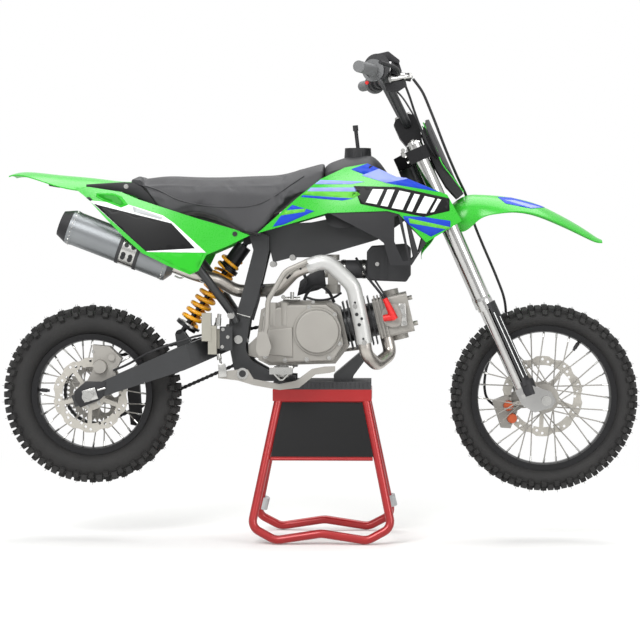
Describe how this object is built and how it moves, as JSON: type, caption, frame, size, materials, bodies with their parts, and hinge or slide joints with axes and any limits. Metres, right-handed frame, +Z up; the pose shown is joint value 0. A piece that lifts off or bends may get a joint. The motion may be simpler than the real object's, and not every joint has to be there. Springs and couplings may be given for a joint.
{
  "type": "dirt bike on a paddock stand",
  "caption": "Small off-road motorcycle with spoked wheels, open engine and plastic bodywork, held up on a tube paddock stand.",
  "frame": {"origin": "on the floor under the stand, midway along the bike, on its middle plane", "axes": "+X towards the front wheel, +Y to the rider's left, +Z up"},
  "size_m": [1.6574, 0.7238, 1.2301],
  "materials": {
    "knobby_rubber": "matt black rubber",
    "black_alloy": "black anodised, satin",
    "cast_alloy": "cast, bead blasted",
    "bright_steel": "bright",
    "disc_steel": "ground",
    "polished_tube": "polished",
    "black_paint": "powder coat, satin",
    "black_plastic": "moulded, fine grain",
    "green_plastic": "moulded, gloss",
    "grip_rubber": "grey rubber",
    "seat_cover": "textured vinyl",
    "yellow_spring": "gloss enamel",
    "grey_plastic": "natural",
    "steel_pipe": "heat tinted",
    "titanium": "brushed",
    "red_paint": "gloss powder coat",
    "pad_rubber": "ribbed rubber"
  },
  "bodies": {
    "chassis": {"frame": "black_paint", "frame_plates": "black_paint", "subframe": "black_paint", "swingarm": "black_paint", "rear_axle": "bright_steel", "pivot_bolt": "bright_steel", "shock_damper": "black_alloy", "shock_spring": "yellow_spring", "engine_case": "cast_alloy", "engine_covers": "cast_alloy", "cylinder": "black_paint", "cylinder_head": "cast_alloy", "carburettor": "cast_alloy", "intake_boot": "pad_rubber", "airbox": "black_plastic", "exhaust_header": "steel_pipe", "muffler": "titanium", "muffler_cap": "black_plastic", "heat_shield": "cast_alloy", "kick_lever": "cast_alloy", "brake_pedal": "cast_alloy", "footpegs": "bright_steel", "gear_lever": "cast_alloy", "rear_brake_pump": "grey_plastic", "rear_caliper": "cast_alloy", "chain": "bright_steel", "drive_sprocket": "bright_steel", "seat": "seat_cover", "fuel_tank": "black_plastic", "tank_cap": "black_plastic", "shrouds": "green_plastic", "lower_shrouds": "black_plastic", "side_panels": "green_plastic", "rear_fender": "green_plastic", "stand": "red_paint", "stand_pad": "pad_rubber", "skid_plate": "black_paint", "chain_guide": "black_plastic"},
    "front_wheel": {"front_tyre": "knobby_rubber", "front_rim": "black_alloy", "front_hub": "cast_alloy", "front_disc": "disc_steel"},
    "rear_wheel": {"rear_tyre": "knobby_rubber", "rear_rim": "black_alloy", "rear_hub": "cast_alloy", "rear_disc": "disc_steel", "rear_sprocket": "cast_alloy"},
    "steering": {"triple_clamps": "black_alloy", "fork_tubes": "polished_tube", "fork_legs": "polished_tube", "fork_guards": "black_plastic", "front_axle": "bright_steel", "handlebar": "black_paint", "grips": "grip_rubber", "hand_controls": "black_plastic", "bar_mount": "black_alloy", "front_fender": "green_plastic", "number_plate": "black_plastic", "front_caliper": "cast_alloy", "brake_hose": "black_plastic"}
  },
  "joints": [
    {"name": "steering_turn", "type": "hinge", "parent": "chassis", "child": "steering", "pos_m": [0.222, 0, 0.9835], "axis": [-0.4067, 0, 0.9135], "range_deg": [-40, 40]},
    {"name": "front_wheel_spin", "type": "hinge", "parent": "steering", "child": "front_wheel", "pos_m": [0.58529, 0, 0.36915], "axis": [0, 1, 0], "continuous": true},
    {"name": "rear_wheel_spin", "type": "hinge", "parent": "chassis", "child": "rear_wheel", "pos_m": [-0.59598, 0, 0.376], "axis": [0, 1, 0], "continuous": true}
  ]
}
